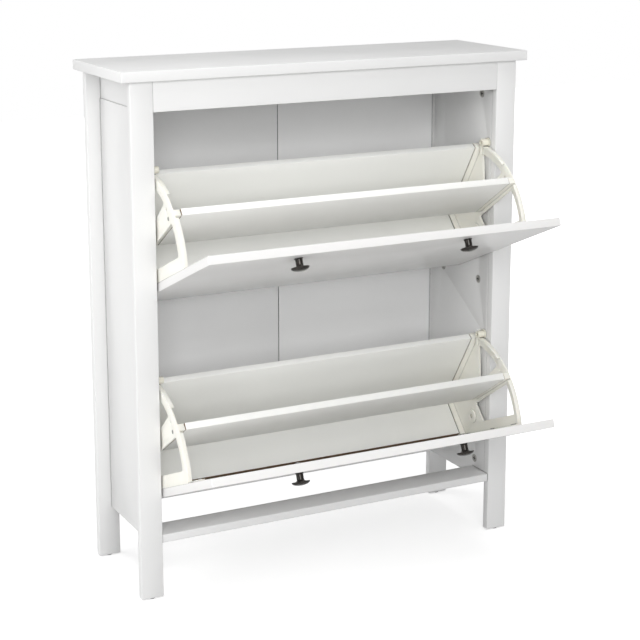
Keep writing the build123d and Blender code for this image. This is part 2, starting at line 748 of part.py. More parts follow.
def board_screw(side, a, b):
    """A flush-headed screw through a frame into a board's end."""
    shank = side_range(side, frame_out - BOARD_SCREW_LENGTH, frame_out - SCREW_HEAD)
    head = side_range(side, frame_out - SCREW_HEAD, frame_out)
    return rod_x(shank[0], shank[1], SCREW_RADIUS, b, a) + rod_x(head[0], head[1], SCREW_HEAD_RADIUS, b, a)


def flap_board(section):
    """A board between the two side frames, drilled for its end screws."""
    board = along_x(profile(section), -board_half, board_half)
    for a, b in section_screws(section):
        for side in (-1, 1):
            span = side_range(side, frame_out - BOARD_SCREW_LENGTH - FIT, board_half)
            board = pierce_x(board, a, b, SCREW_RADIUS + FIT, span[0], span[1])
    return board


def knob_places():
    """X of the two knobs of a flap."""
    return (-KNOB_SPACING / 2, KNOB_SPACING / 2)


def door():
    """The flap's front board, drilled for its knobs and frames."""
    board = block((-door_half, door_half), (door_out, door_in), (-FLAP_DROP, door_top))
    board = fillet(board.edges(), FLAP_EDGE_ROUND)
    knob_a = door_top - KNOB_FROM_TOP
    for x in knob_places():
        board = board - rod_y(door_out, door_in, KNOB_SCREW_RADIUS + FIT, x, knob_a)
    for side in (-1, 1):
        for x, a in foot_screw_places():
            low = door_in + FOOT_THICKNESS - FOOT_SCREW_LENGTH - FIT
            board = board - rod_y(low, door_in, SCREW_RADIUS + FIT, side * x, a)
    return board


def knob(x):
    """A turned mushroom knob on the door's front."""
    out = KNOB_STEM + KNOB_HEAD
    outline = Polyline(
        (0.0, 0.0),
        (KNOB_STEM_RADIUS, 0.0),
        (KNOB_STEM_RADIUS, KNOB_RIM),
        (KNOB_WAIST_RADIUS, KNOB_STEM / 2),
        (KNOB_STEM_RADIUS, KNOB_STEM),
        (KNOB_HEAD_RADIUS - KNOB_RIM, KNOB_STEM),
        (KNOB_HEAD_RADIUS, KNOB_STEM + KNOB_RIM),
        (KNOB_HEAD_RADIUS, out - KNOB_RIM),
        (KNOB_HEAD_RADIUS - KNOB_RIM, out - KNOB_RIM / 2),
        (KNOB_HEAD_RADIUS / 2, out),
        (0.0, out),
        close=True,
    )
    solid = revolve(make_face(outline), Axis.Y)
    solid = solid - rod_y(0.0, KNOB_SCREW_GRIP + FIT, KNOB_SCREW_RADIUS + FIT)
    return Pos(x, door_out, door_top - KNOB_FROM_TOP) * Rot(180, 0, 0) * solid


def knob_screw(x):
    """The machine screw from inside the door into a knob."""
    a = door_top - KNOB_FROM_TOP
    shank = rod_y(door_out - KNOB_SCREW_GRIP, door_in, KNOB_SCREW_RADIUS, x, a)
    return shank + rod_y(door_in, door_in + KNOB_SCREW_HEAD, KNOB_SCREW_HEAD_RADIUS, x, a)


# ---------------------------------------------------------------- build the cabinet
save("top_panel", drill_brackets(top_panel()))
for row_name, rear in (("front", False), ("rear", True)):
    for side_name, side in (("left", -1), ("right", 1)):
        save(f"leg_{row_name}_{side_name}", leg(side, rear))
for side_name, side in (("left", -1), ("right", 1)):
    save(f"side_panel_{side_name}", side_panel(side))
    save(f"side_rail_{side_name}", drill_brackets(side_rail(side)))
    save(f"back_panel_{side_name}", drill_nails(back_sheet(side)))
save("front_top_rail", drill_brackets(front_top_rail()))
upper_rear_rail = rear_rail(top_under - REAR_RAIL_HEIGHT, top_under)
save("rear_top_rail", drill_nails(drill_brackets(upper_rear_rail)))
lower_rear_rail = rear_rail(SIDE_PANEL_BOTTOM, SIDE_PANEL_BOTTOM + REAR_RAIL_HEIGHT)
save("rear_bottom_rail", drill_nails(lower_rear_rail))
save("crossbar", crossbar())
save("back_seam_tape", seam_tape())
save("back_panel_nails", nails())
save("leg_glides", leg_glides())
save("cam_locks", cam_locks())
save("cam_bolts", cam_bolts())
save("rail_dowels", [x_dowel(side, y, z, 0.0) for side, y, z in rail_dowels()])
save("side_dowels", [y_dowel(x, y, z, 0.0) for x, y, z in panel_dowels()])
save("top_brackets", [bracket_at(place, angle_bracket()) for place in bracket_places()])
save("top_bracket_screws", bracket_screws())
pivots = (("upper", upper_pivot), ("lower", lower_pivot))
for row_name, pivot in pivots:
    for side_name, side in (("left", -1), ("right", 1)):
        save(f"{row_name}_pivot_pin_{side_name}", pivot_pin(side, pivot))
        save(f"{row_name}_stop_{side_name}", flap_stop(side, pivot))
save("stop_screws", [stop_screw(side, pivot) for _, pivot in pivots for side in (-1, 1)])

# ---------------------------------------------------------------- build the two flaps
right_frame = side_frame()
flap_nodes = {
    "door": door(),
    "side_frame_left": mirror(right_frame, Plane.YZ),
    "side_frame_right": right_frame,
    "divider": flap_board(divider_section),
    "rear_board": flap_board(rear_section),
    "floor_board": flap_board(floor_section),
    "knob_left": knob(knob_places()[0]),
    "knob_right": knob(knob_places()[1]),
    "knob_screws": [knob_screw(x) for x in knob_places()],
    "frame_screws": [foot_screw(side * x, a) for side in (-1, 1) for x, a in foot_screw_places()],
    "board_screws": [board_screw(side, a, b) for side in (-1, 1) for a, b in board_screw_places()],
}


def opened(pivot, shape):
    """Stand a closed flap's shape at its pivot and swing it open."""
    return Pos(0, PIVOT_BACK, pivot) * Rot(OPEN_ANGLE, 0, 0) * shape


for row_name, pivot in pivots:
    for name, shape in flap_nodes.items():
        if isinstance(shape, list):
            placed = [opened(pivot, solid) for solid in shape]
        else:
            placed = opened(pivot, shape)
        save(f"{row_name}_{name}", placed)

# ---------------------------------------------------------------- put the origin under the middle and write
boxes = [shape.bounding_box() for shape in nodes.values()]
middle_y = (min(box.min.Y for box in boxes) + max(box.max.Y for box in boxes)) / 2
for node, shape in nodes.items():
    export_step(Pos(0, -middle_y, 0) * shape, f"parts/{node}.step")
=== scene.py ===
# %% [markdown]
# # A white shoe cabinet with tilting flaps
# The cabinet stands on four flat legs. Two flap doors swing out on plastic side frames, and each
# flap carries sloped boards that hold the shoes. Such a cabinet could be modelled by eye, but its
# flaps have to close without touching anything, so a construction model gives every size and place.
# This script eases the boards' edges, turns the knobs, and gives each piece its finish.

# %% The construction model
import json
from math import atan2, cos, pi, radians, sin
import bpy
from mathutils import Matrix, Vector

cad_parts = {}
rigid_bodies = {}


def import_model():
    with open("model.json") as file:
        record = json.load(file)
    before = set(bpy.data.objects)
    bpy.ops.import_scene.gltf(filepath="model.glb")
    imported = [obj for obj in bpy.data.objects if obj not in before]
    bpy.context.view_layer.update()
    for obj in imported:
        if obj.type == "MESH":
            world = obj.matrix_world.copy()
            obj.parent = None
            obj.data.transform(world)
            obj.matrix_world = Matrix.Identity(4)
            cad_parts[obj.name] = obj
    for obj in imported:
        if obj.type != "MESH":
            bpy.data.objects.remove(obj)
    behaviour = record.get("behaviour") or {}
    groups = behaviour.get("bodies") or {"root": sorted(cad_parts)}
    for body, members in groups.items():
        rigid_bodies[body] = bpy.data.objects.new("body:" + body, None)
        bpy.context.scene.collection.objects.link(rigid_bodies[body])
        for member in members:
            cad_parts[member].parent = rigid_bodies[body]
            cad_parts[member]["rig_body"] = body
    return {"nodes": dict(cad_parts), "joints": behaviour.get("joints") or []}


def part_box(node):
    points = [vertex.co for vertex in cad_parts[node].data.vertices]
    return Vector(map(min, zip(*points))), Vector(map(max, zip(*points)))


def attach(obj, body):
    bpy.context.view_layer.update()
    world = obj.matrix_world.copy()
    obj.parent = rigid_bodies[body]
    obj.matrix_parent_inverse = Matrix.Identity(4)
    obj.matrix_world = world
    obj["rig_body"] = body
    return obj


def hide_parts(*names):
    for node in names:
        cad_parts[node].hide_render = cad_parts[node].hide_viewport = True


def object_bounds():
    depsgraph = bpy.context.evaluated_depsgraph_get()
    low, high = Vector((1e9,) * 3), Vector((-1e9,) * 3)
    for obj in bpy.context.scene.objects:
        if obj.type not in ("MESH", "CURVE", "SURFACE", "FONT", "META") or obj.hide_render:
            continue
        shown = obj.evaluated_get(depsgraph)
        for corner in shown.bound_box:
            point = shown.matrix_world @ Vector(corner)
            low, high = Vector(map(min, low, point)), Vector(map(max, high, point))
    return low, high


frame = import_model()
cad_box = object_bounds()
mm = 0.001
flap_rows = ("upper", "lower")
sides = ("left", "right")
print("model box", [round(v, 3) for corner in cad_box for v in corner])

# %% [markdown]
# ## Where the flaps hang
# Each flap hinges on a line across the cabinet. At rest it is open, and the joint's range says how
# far it swings to close. Working in the closed flap's own upright axes keeps every board of it a
# plain upright box; one turn about the hinge then swings the finished board open.

# %% The hinges
hinges = {joint["child"]: joint for joint in frame["joints"]}


def opening_turn(body):
    """The turn that swings a closed flap's piece open."""
    pivot = Vector(hinges[body]["pos_m"])
    angle = radians(hinges[body]["range_deg"][1])
    return Matrix.Translation(pivot) @ Matrix.Rotation(angle, 4, "X") @ Matrix.Translation(-pivot)


def box_in(node, turn):
    """A node's lowest and highest corners, seen in turned axes."""
    back = turn.inverted()
    points = [back @ v.co for v in frame["nodes"][node].data.vertices]
    low = Vector([min(p[i] for p in points) for i in range(3)])
    high = Vector([max(p[i] for p in points) for i in range(3)])
    return low, high


for body, joint in hinges.items():
    place = [round(v, 4) for v in joint["pos_m"]]
    print(body, "hinge at", place, "swings", joint["range_deg"], "degrees")

# %% [markdown]
# ## Small helpers for modelling
# An operator works on whatever is selected, so each helper starts by clearing the selection. A
# finished piece has its place in its mesh and its own origin at the world's, as the construction
# model's pieces do.

# %% Selecting and editing


def clear_selection():
    """Nothing selected, nothing in edit mode."""
    if bpy.context.object and bpy.context.object.mode != "OBJECT":
        bpy.ops.object.mode_set(mode="OBJECT")
    bpy.ops.object.select_all(action="DESELECT")


def pick(obj):
    """Make one object the selected and active one."""
    clear_selection()
    obj.select_set(True)
    bpy.context.view_layer.objects.active = obj


def settle(obj):
    """Put the object's place, turn and size into its mesh."""
    pick(obj)
    bpy.ops.object.transform_apply(location=True, rotation=True, scale=True)


def edit_all(obj):
    """Enter edit mode with the whole mesh selected."""
    pick(obj)
    bpy.ops.object.mode_set(mode="EDIT")
    bpy.ops.mesh.select_all(action="SELECT")


def leave_edit():
    """Back to object mode."""
    bpy.ops.object.mode_set(mode="OBJECT")


def smooth(obj, angle=40.0):
    """Smooth shading that keeps edges sharper than the angle."""
    pick(obj)
    bpy.ops.object.shade_smooth_by_angle(angle=radians(angle))


clear_selection()
print("selected now:", len(bpy.context.selected_objects))

# %% [markdown]
# ## Dressing a piece and handing it over
# A board can show two finishes, such as laminate on its broad faces and bare wood at its ends. Two
# objects could be joined for that, but it is simpler to add the second material to the same mesh
# and to let single faces choose it. A finished piece then takes the place of its construction node,
# which is hidden, and rides that node's body, so that it moves with the flap it belongs to.

# %% Dressing and placing


def dress(obj, material):
    """Give an object one material."""
    obj.data.materials.clear()
    obj.data.materials.append(material)


def paint_faces(obj, material, wanted):
    """Give some of an object's faces a second material, and count them."""
    obj.data.materials.append(material)
    painted = [face for face in obj.data.polygons if wanted(face)]
    for face in painted:
        face.material_index = len(obj.data.materials) - 1
    return len(painted)


def take_place(obj, node):
    """Let a finished, dressed piece stand for a construction node, on that node's body."""
    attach(obj, frame["nodes"][node]["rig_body"])
    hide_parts(node)


# %% [markdown]
# ## Two ways to make a piece
# A cut board is a box the size of its node with its edges eased by a bevel. A drilled board or a
# moulding could be rebuilt by hand as well, but a copy of its node has its holes and ribs in their
# true places. The copy's loose triangles are merged into clean faces first, because a bevel needs
# whole faces to follow, and then the same easing rounds its edges and the rims of its holes.

# %% Boards and copies
MERGE_WITHIN = 0.02 * mm
FLAT_WITHIN = radians(0.5)
EDGE_FROM = radians(35.0)


def plain_board(name, low, high, ease, segments=3):
    """A board: a box with all its edges eased."""
    clear_selection()
    bpy.ops.mesh.primitive_cube_add(size=1.0, location=(low + high) / 2)
    board = bpy.context.object
    board.name = name
    board.data.name = name
    board.scale = high - low
    settle(board)
    edit_all(board)
    bpy.ops.mesh.bevel(offset=ease, segments=segments, affect="EDGES", profile=0.5)
    leave_edit()
    smooth(board)
    return board


def copied_node(name, node, ease, segments=2):
    """A copy of a construction node with its loose triangles merged and its edges eased."""
    clear_selection()
    source = frame["nodes"][node]
    piece = source.copy()
    piece.data = source.data.copy()
    piece.name = name
    piece.data.name = name
    piece.parent = None
    for key in list(piece.keys()):
        del piece[key]
    bpy.context.scene.collection.objects.link(piece)
    edit_all(piece)
    bpy.ops.mesh.remove_doubles(threshold=MERGE_WITHIN)
    bpy.ops.mesh.dissolve_limited(angle_limit=FLAT_WITHIN)
    leave_edit()
    bevel = piece.modifiers.new("eased", "BEVEL")
    bevel.width = ease
    bevel.segments = segments
    bevel.limit_method = "ANGLE"
    bevel.angle_limit = EDGE_FROM
    bevel.use_clamp_overlap = True
    pick(piece)
    bpy.ops.object.modifier_apply(modifier="eased")
    edit_all(piece)
    bpy.ops.mesh.quads_convert_to_tris()
    leave_edit()
    smooth(piece)
    return piece


print("nodes to dress:", len(frame["nodes"]))

# %% [markdown]
# ## A slow drift of tone
# Lacquer, plastic and metal are never quite even, and a perfectly even colour looks like plastic
# film. A painted texture could carry the unevenness, but noise needs no file and has no seams. It is
# a node group with its own inputs, so that every finish shares it and sets its own scale. The noise
# keeps to the middle of its range, so that middle is stretched to run from the low value to the
# high one.

# %% Group: a slow drift between two values
NOISE_BAND = (0.3, 0.7)


def add_group(name, inputs, outputs):
    """An empty shader group with named sockets: (name, kind, default) and (name, kind)."""
    group = bpy.data.node_groups.new(name, "ShaderNodeTree")
    for label, kind, default in inputs:
        socket = group.interface.new_socket(label, in_out="INPUT", socket_type=kind)
        socket.default_value = default
    for label, kind in outputs:
        group.interface.new_socket(label, in_out="OUTPUT", socket_type=kind)
    return group, group.nodes.new("NodeGroupInput"), group.nodes.new("NodeGroupOutput")


def make_drift():
    """Noise that moves a value slowly between a low and a high one."""
    group, start, end = add_group(
        "slow_drift",
        [
            ("Scale", "NodeSocketFloat", 6.0),
            ("Low", "NodeSocketFloat", 0.3),
            ("High", "NodeSocketFloat", 0.4),
        ],
        [("Value", "NodeSocketFloat")],
    )
    nodes, links = group.nodes, group.links
    place = nodes.new("ShaderNodeTexCoord")
    noise = nodes.new("ShaderNodeTexNoise")
    noise.inputs["Detail"].default_value = 4.0
    spread = nodes.new("ShaderNodeMapRange")
    spread.inputs["From Min"].default_value = NOISE_BAND[0]
    spread.inputs["From Max"].default_value = NOISE_BAND[1]
    links.new(place.outputs["Object"], noise.inputs["Vector"])
    links.new(start.outputs["Scale"], noise.inputs["Scale"])
    links.new(noise.outputs["Fac"], spread.inputs["Value"])
    links.new(start.outputs["Low"], spread.inputs["To Min"])
    links.new(start.outputs["High"], spread.inputs["To Max"])
    links.new(spread.outputs["Result"], end.inputs["Value"])
    return group


drift_group = make_drift()
print(drift_group.name, "has", len(drift_group.nodes), "nodes")

# %% [markdown]
# ## A fine skin
# Rolled lacquer has a faint orange peel, and moulded plastic is eroded on purpose to hide
# scratches. Both are far too fine to model as geometry, so a bump tilts the shading instead. The
# noise can be stretched along one axis, which turns it into the grain of wood or the lay of a
# pressed sheet.

# %% Group: a fine skin texture


def make_skin():
    """A fine bump: rolled lacquer, spark-eroded plastic or cast metal, by scale."""
    group, start, end = add_group(
        "fine_skin",
        [
            ("Scale", "NodeSocketFloat", 900.0),
            ("Depth", "NodeSocketFloat", 0.00002),
            ("Stretch", "NodeSocketVector", (1.0, 1.0, 1.0)),
        ],
        [("Normal", "NodeSocketVector")],
    )
    nodes, links = group.nodes, group.links
    place = nodes.new("ShaderNodeTexCoord")
    stretch = nodes.new("ShaderNodeVectorMath")
    stretch.operation = "MULTIPLY"
    noise = nodes.new("ShaderNodeTexNoise")
    noise.inputs["Detail"].default_value = 3.0
    noise.inputs["Roughness"].default_value = 0.6
    bump = nodes.new("ShaderNodeBump")
    bump.inputs["Strength"].default_value = 1.0
    links.new(place.outputs["Object"], stretch.inputs[0])
    links.new(start.outputs["Stretch"], stretch.inputs[1])
    links.new(stretch.outputs["Vector"], noise.inputs["Vector"])
    links.new(start.outputs["Scale"], noise.inputs["Scale"])
    links.new(noise.outputs["Fac"], bump.inputs["Height"])
    links.new(start.outputs["Depth"], bump.inputs["Distance"])
    links.new(bump.outputs["Normal"], end.inputs["Normal"])
    return group


skin_group = make_skin()
print(skin_group.name, "has", len(skin_group.nodes), "nodes")

# %% [markdown]
# ## Painted shade in a joint
# Where two boards meet, their eased edges leave a groove a few tenths of a millimetre deep, and it
# reads as a thin dark line. It is too narrow for the light alone to draw, so its shade is painted
# into the colour instead. The ambient occlusion node tells how much of the air within a given reach
# is free, and a short reach finds only these grooves.

# %% Group: painted shade in a joint


def make_painted_joint_shade():
    """A painted-shade mask: 1 in the open, falling to 0 where another face stands close, as in a joint.
    """
    group, start, end = add_group(
        "painted_joint_shade",
        [
            ("Reach", "NodeSocketFloat", 0.0025),
            ("Shut", "NodeSocketFloat", 0.4),
            ("Open", "NodeSocketFloat", 0.8),
        ],
        [("Mask", "NodeSocketFloat")],
    )
    nodes, links = group.nodes, group.links
    near = nodes.new("ShaderNodeAmbientOcclusion")
    near.samples = 3
    fall = nodes.new("ShaderNodeMapRange")
    links.new(start.outputs["Reach"], near.inputs["Distance"])
    links.new(near.outputs["AO"], fall.inputs["Value"])
    links.new(start.outputs["Shut"], fall.inputs["From Min"])
    links.new(start.outputs["Open"], fall.inputs["From Max"])
    links.new(fall.outputs["Result"], end.inputs["Mask"])
    return group


painted_shade_group = make_painted_joint_shade()
print(painted_shade_group.name, "has", len(painted_shade_group.nodes), "nodes")

# %% [markdown]
# ## How a finish is put together
# Every finish is a Principled shader fed by the three groups: a slow drift, a fine skin and the
# painted shade in joints. What is even all over, such as the coat, is set on the shader itself; what
# changes over the surface, such as tone and roughness, comes from nodes. The cabinet has many
# finishes that differ only in their values, so one function builds them all.

# %% Material builder
GLOSS_DRIFT = 2.3
finishes = []


def use_group(material, group, **values):
    """Place a shared group in a material and set its inputs."""
    node = material.node_tree.nodes.new("ShaderNodeGroup")
    node.node_tree = group
    for label, value in values.items():
        node.inputs[label].default_value = value
    return node


def tone_mix(material, shade, tone):
    """A colour mix with its dark end set; its factor and its light end are still open."""
    mix = material.node_tree.nodes.new("ShaderNodeMix")
    mix.data_type = "RGBA"
    mix.inputs["A"].default_value = (*[shade * channel for channel in tone], 1.0)
    return mix


# joint is the share of the dark tone that the painted shade in joints and creases falls to.
def finish(
    name, light, dark, rough, drift=5.0, skin=900.0, depth=0.02, stretch=(1, 1, 1), joint=0.35, **even
):
    """A material that drifts between two tones and two roughnesses; skin depth is in millimetres."""
    material = bpy.data.materials.new(name)
    material.use_nodes = True
    links = material.node_tree.links
    shader = material.node_tree.nodes["Principled BSDF"]
    tone = use_group(material, drift_group, Scale=drift, Low=0.0, High=1.0)
    # Painted shade: the colour darkens where another face stands close, in joints and creases.
    painted_shade_mask = use_group(material, painted_shade_group)
    gloss = use_group(material, drift_group, Scale=drift * GLOSS_DRIFT, Low=rough[0], High=rough[1])
    texture = use_group(material, skin_group, Scale=skin, Depth=depth * mm, Stretch=stretch)
    base = tone_mix(material, 1.0, dark)
    base.inputs["B"].default_value = (*light, 1.0)
    # The colour with the painted shade of joints mixed in.
    with_painted_shade = tone_mix(material, joint, dark)
    links.new(tone.outputs["Value"], base.inputs["Factor"])
    links.new(painted_shade_mask.outputs["Mask"], with_painted_shade.inputs["Factor"])
    links.new(base.outputs["Result"], with_painted_shade.inputs["B"])
    links.new(with_painted_shade.outputs["Result"], shader.inputs["Base Color"])
    links.new(gloss.outputs["Value"], shader.inputs["Roughness"])
    links.new(texture.outputs["Normal"], shader.inputs["Normal"])
    for label, value in even.items():
        shader.inputs[label.replace("_", " ")].default_value = value
    finishes.append(name)
    return material


print("effects in each finish:", [group.name for group in (drift_group, skin_group, painted_shade_group)])

# %% [markdown]
# ## White finishes
# Lacquered boards are a clean white with a low sheen, and the doors were sprayed glossier than the
# carcass. The loose boards inside are laminate, and the thin back panel is matt hardboard. One
# white for all would be simpler, but the eye tells the four apart by their sheen, so each has its
# own roughness.

# %% White finishes
lacquer = finish(
    "white_lacquer", (0.803, 0.803, 0.799), (0.783, 0.783, 0.779), (0.30, 0.40),
    Coat_Weight=0.15, Coat_Roughness=0.2
)
door_lacquer = finish(
    "door_lacquer", (0.812, 0.805, 0.796), (0.798, 0.791, 0.782), (0.20, 0.24),
    drift=3.0, skin=1100.0, depth=0.002, Coat_Weight=0.10, Coat_Roughness=0.20
)
laminate = finish(
    "white_laminate", (0.930, 0.932, 0.905), (0.910, 0.912, 0.885), (0.32, 0.42),
    skin=1400.0, depth=0.01
)
hardboard = finish(
    "back_hardboard", (0.930, 0.930, 0.928), (0.905, 0.905, 0.905), (0.55, 0.68),
    skin=500.0, depth=0.03, stretch=(1.0, 1.0, 0.3)
)
print("made", finishes)

# %% [markdown]
# ## Plastics and tape
# The fittings are cream plastic, a little translucent at their thin rims, so some light is let
# through the surface instead of only brightening the colour. The tape behind the back panel's seam
# is pale, but its colour is painted almost black where the seam shades it: it has its own, darker
# setting of the painted joint shade.

# %% Plastic finishes
frame_plastic = finish(
    "cream_plastic", (0.870, 0.860, 0.800), (0.845, 0.833, 0.765), (0.38, 0.48),
    drift=12.0, skin=2200.0, depth=0.01,
    Subsurface_Weight=0.08, Subsurface_Radius=(0.004, 0.003, 0.002), Subsurface_Scale=1.0
)
peg_plastic = finish(
    "peg_plastic", (0.800, 0.780, 0.680), (0.770, 0.745, 0.630), (0.36, 0.46),
    drift=20.0, skin=2200.0, depth=0.01,
    Subsurface_Weight=0.05, Subsurface_Radius=(0.003, 0.002, 0.0015), Subsurface_Scale=1.0
)
glide_plastic = finish("glide_plastic", (0.36, 0.36, 0.36), (0.30, 0.30, 0.30), (0.5, 0.6), drift=60.0)
# joint=0.05 paints the seam's shade onto the tape as almost black.
tape_film = finish(
    "seam_tape", (0.72, 0.71, 0.68), (0.66, 0.65, 0.62), (0.4, 0.55), drift=20.0, joint=0.05
)
print("made", finishes[-4:])

# %% [markdown]
# ## Metals
# The knobs are dark bronze, rubbed a little lighter in places, under a clear coat. Cams and screws
# are plated with dull zinc. A full metal would turn black here, because there is little around it
# to mirror, so the metals keep some plain colour. The cross in a cam is too deep to catch light, so
# its shade is painted as a near-black finish of its own.

# %% Metal finishes
bronze = finish(
    "dark_bronze", (0.034, 0.027, 0.022), (0.012, 0.010, 0.008), (0.20, 0.32),
    drift=90.0, skin=1500.0, depth=0.01, Metallic=0.7, Coat_Weight=0.4, Coat_Roughness=0.12
)
cam_zinc = finish(
    "cam_zinc", (0.50, 0.49, 0.46), (0.36, 0.35, 0.33), (0.35, 0.5),
    drift=120.0, skin=1800.0, depth=0.03, Metallic=0.8
)
# Painted shade: the cam's zinc cross gets this near-black colour for the shade in its recess.
cam_cross_painted_shade = finish(
    "cam_cross_painted_shade", (0.06, 0.058, 0.055), (0.03, 0.029, 0.028), (0.5, 0.7),
    drift=160.0, skin=1800.0, depth=0.03
)
screw_zinc = finish(
    "screw_zinc", (0.36, 0.36, 0.35), (0.24, 0.24, 0.23), (0.42, 0.55),
    drift=150.0, skin=2500.0, depth=0.02, Metallic=0.9
)
print("made", finishes[-4:])

# %% [markdown]
# ## Bare wood
# Where a board's edge has no banding, its core shows: brown fibreboard, dry and dense, which a fast
# drift between two browns gives. Dowels are bare beech, and the same noise drawn out along one axis
# is its grain.

# %% Bare wood finishes
raw_core = finish(
    "raw_fibreboard", (0.34, 0.22, 0.13), (0.17, 0.10, 0.06), (0.75, 0.9),
    drift=260.0, skin=1200.0, depth=0.08
)
beech = finish(
    "bare_beech", (0.60, 0.42, 0.26), (0.46, 0.31, 0.18), (0.6, 0.75),
    drift=80.0, skin=700.0, depth=0.05, stretch=(1.0, 1.0, 0.15)
)
print("made", finishes[-2:], "and so", len(finishes), "finishes in all")

# %% [markdown]
# ## The carcass boards
# Lid, legs, rails and crossbar are cut square and lacquered, with their edges sanded to a small
# radius. The crossbar and the lid are touched most, so their edges are the roundest. All are boxes,
# so one loop makes them from their nodes' sizes. The easing matters: it is what catches a line of
# light on each edge.

# %% Lid, legs, rails and crossbar
LID_EASE = 1.3 * mm
LEG_EASE = 0.9 * mm
FRONT_RAIL_EASE = 0.7 * mm
RAIL_EASE = 0.5 * mm
CROSSBAR_EASE = 1.6 * mm
carcass_boards = {
    "top_panel": LID_EASE,
    "front_top_rail": FRONT_RAIL_EASE,
    "side_rail_left": RAIL_EASE,
    "side_rail_right": RAIL_EASE,
    "rear_top_rail": RAIL_EASE,
    "rear_bottom_rail": RAIL_EASE,
    "crossbar": CROSSBAR_EASE,
    "leg_front_left": LEG_EASE,
    "leg_front_right": LEG_EASE,
    "leg_rear_left": LEG_EASE,
    "leg_rear_right": LEG_EASE,
}
for node, ease in carcass_boards.items():
    low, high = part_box(node)
    board = plain_board(f"{node}_board", low, high, ease)
    dress(board, lacquer)
    take_place(board, node)
print(len(carcass_boards), "carcass boards")

# %% [markdown]
# ## The side walls and the thin back
# The side walls are drilled for the cams. Holes could be cut into a box, but a merged copy of the
# node already has them, so that is used. The back is two thin sheets of hardboard with a narrow
# seam between them, and a sheet is a box again.

# %% Side walls and back sheets
WALL_EASE = 0.4 * mm
SHEET_EASE = 0.3 * mm
for side in sides:
    wall = copied_node(f"side_wall_{side}", f"side_panel_{side}", WALL_EASE)
    dress(wall, lacquer)
    take_place(wall, f"side_panel_{side}")
    low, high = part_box(f"back_panel_{side}")
    sheet = plain_board(f"back_sheet_{side}", low, high, SHEET_EASE, 2)
    dress(sheet, hardboard)
    take_place(sheet, f"back_panel_{side}")
    thickness = round((high.y - low.y) / mm, 1)
    print(side, "wall has", len(wall.data.polygons), "faces; the sheet is", thickness, "mm thick")

# %% [markdown]
# ## The doors
# An open door is a board that leans forward. It could be a box turned into place by eye, but then
# its angle and its place would have to be matched to the hinge. Instead it is made closed and
# upright, where it is a plain box, and one turn about its hinge swings it open. That turn goes into
# the mesh.

# %% Doors
DOOR_EASE = 0.9 * mm


def swing_open(obj, body):
    """Swing a piece that was modelled closed to where the open flap has it."""
    obj.matrix_world = opening_turn(body) @ obj.matrix_world
    settle(obj)


for row in flap_rows:
    body = f"{row}_flap"
    low, high = box_in(f"{row}_door", opening_turn(body))
    door = plain_board(f"{row}_door_board", low, high, DOOR_EASE, 4)
    swing_open(door, body)
    dress(door, door_lacquer)
    take_place(door, f"{row}_door")
    print(row, "door is", [round(v / mm, 1) for v in high - low], "mm")

# %% [markdown]
# ## The boards inside a flap
# Three loose boards sit on each flap's frames, and each leans at its own angle. A box that follows
# the axes would not fit them, so the angle is read from the node's largest face, the box is made in
# turned axes, and the turn is put back. They are cut from laminated board, so their sawn ends are
# bare, and so is the floor board's front edge. A face belongs to one of these when its normal
# points mostly that way.

# %% Divider, rear board and floor board
LAMINATE_EASE = 0.5 * mm
MOSTLY = 0.5
PARTLY = 0.3


def lean_of(node):
    """The turn about X that brings the Y axis square to a board's broad faces."""
    faces = frame["nodes"][node].data.polygons
    broad = max(faces, key=lambda face: face.area if abs(face.normal.x) < MOSTLY else 0.0)
    return Matrix.Rotation(atan2(broad.normal.z, broad.normal.y), 4, "X")


def unbanded(face, part, lean):
    """Whether a face is one of a board's sawn ends, or the floor board's front edge."""
    along = (lean.inverted().to_3x3() @ face.normal).z
    front = part == "floor_board" and abs(along) > MOSTLY and face.normal.y < 0.0
    return abs(face.normal.x) > PARTLY or front


for row in flap_rows:
    for part in ("divider", "rear_board", "floor_board"):
        node = f"{row}_{part}"
        lean = lean_of(node)
        low, high = box_in(node, lean)
        board = plain_board(f"{node}_laminate", low, high, LAMINATE_EASE, 2)
        board.matrix_world = lean @ board.matrix_world
        settle(board)
        dress(board, laminate)
        bare = paint_faces(board, raw_core, lambda face: unbanded(face, part, lean))
        take_place(board, node)
        print(node, "has", bare, "bare faces")

# %% [markdown]
# ## The side frames
# A side frame is one moulding: a flat fan with a rim, pads for the boards' ends and a hub on the
# hinge. It has to fit its pin and its stop, so it is not drawn again: the node has the true shape,
# and a merged copy needs only the soft edges that a mould leaves.

# %% Side frames
FRAME_EASE = 0.45 * mm
for row in flap_rows:
    for side in sides:
        node = f"{row}_side_frame_{side}"
        moulding = copied_node(f"{node}_moulding", node, FRAME_EASE)
        dress(moulding, frame_plastic)
        take_place(moulding, node)
        print(node, len(moulding.data.polygons), "faces")

# %% [markdown]
# ## Pins, pegs and glides
# The hinge pins and stop pegs are small round mouldings, and a round glide keeps each leg off the
# floor. They could be cylinders, but they have flanges and bores that show beside the frames.
# Copies of their nodes keep those, and a small bevel takes off the knife edge.

# %% Pins, pegs and glides
PEG_EASE = 0.35 * mm
GLIDE_EASE = 0.4 * mm
for row in flap_rows:
    for side in sides:
        for kind in ("pivot_pin", "stop"):
            node = f"{row}_{kind}_{side}"
            piece = copied_node(f"{node}_moulding", node, PEG_EASE)
            dress(piece, peg_plastic)
            take_place(piece, node)
glides = copied_node("leg_glides_set", "leg_glides", GLIDE_EASE)
dress(glides, glide_plastic)
take_place(glides, "leg_glides")
print(len(flap_rows) * len(sides), "pins and as many pegs; glides:", len(glides.data.polygons), "faces")

# %% [markdown]
# ## The cams
# A cam is a round zinc lock with a cross in its face, which a screwdriver turns to draw the joint
# tight. All twelve share one node. The cross is found by where it lies on its own cam, which is
# hard to say while the cams are one mesh. So they are taken apart, each gets a near-black painted
# shade in its cross, and they are joined.

